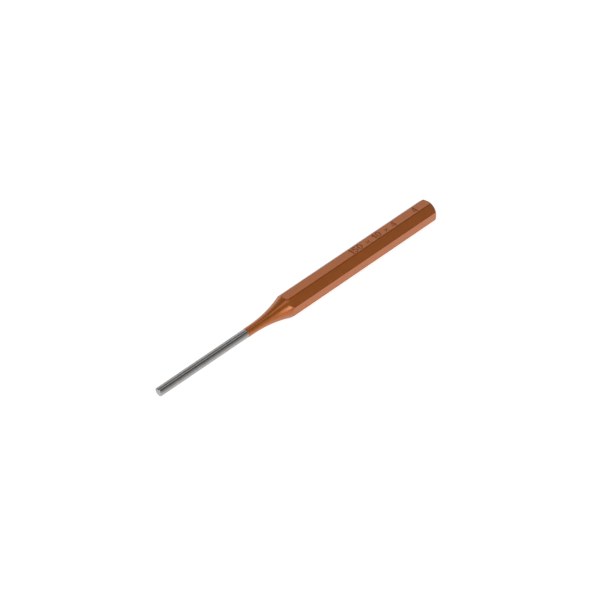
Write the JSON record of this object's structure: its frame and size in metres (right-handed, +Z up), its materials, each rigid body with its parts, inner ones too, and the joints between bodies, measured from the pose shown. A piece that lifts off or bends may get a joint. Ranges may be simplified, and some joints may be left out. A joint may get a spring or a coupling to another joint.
{
  "type": "pin punch",
  "caption": "Slim octagonal pin punch with a round ground steel pin, a hollow turned neck and a bevelled striking head, lacquered copper from the head down to the start of the bare pin.",
  "frame": {"origin": "halfway along the punch, on the surface that its lower flat lies on", "axes": "+X along the punch towards the striking face, the pin's tip at -X; +Z up, square to the lower flat"},
  "size_m": [0.15, 0.0102, 0.0102],
  "materials": {
    "ground_steel": "bright ground along the pin, with fine lines round it",
    "copper_lacquer": "satin copper-coloured lacquer with a soft gloss"
  },
  "bodies": {
    "root": {"steel_blank": "ground_steel", "lacquer_coat": "copper_lacquer"}
  },
  "joints": []
}
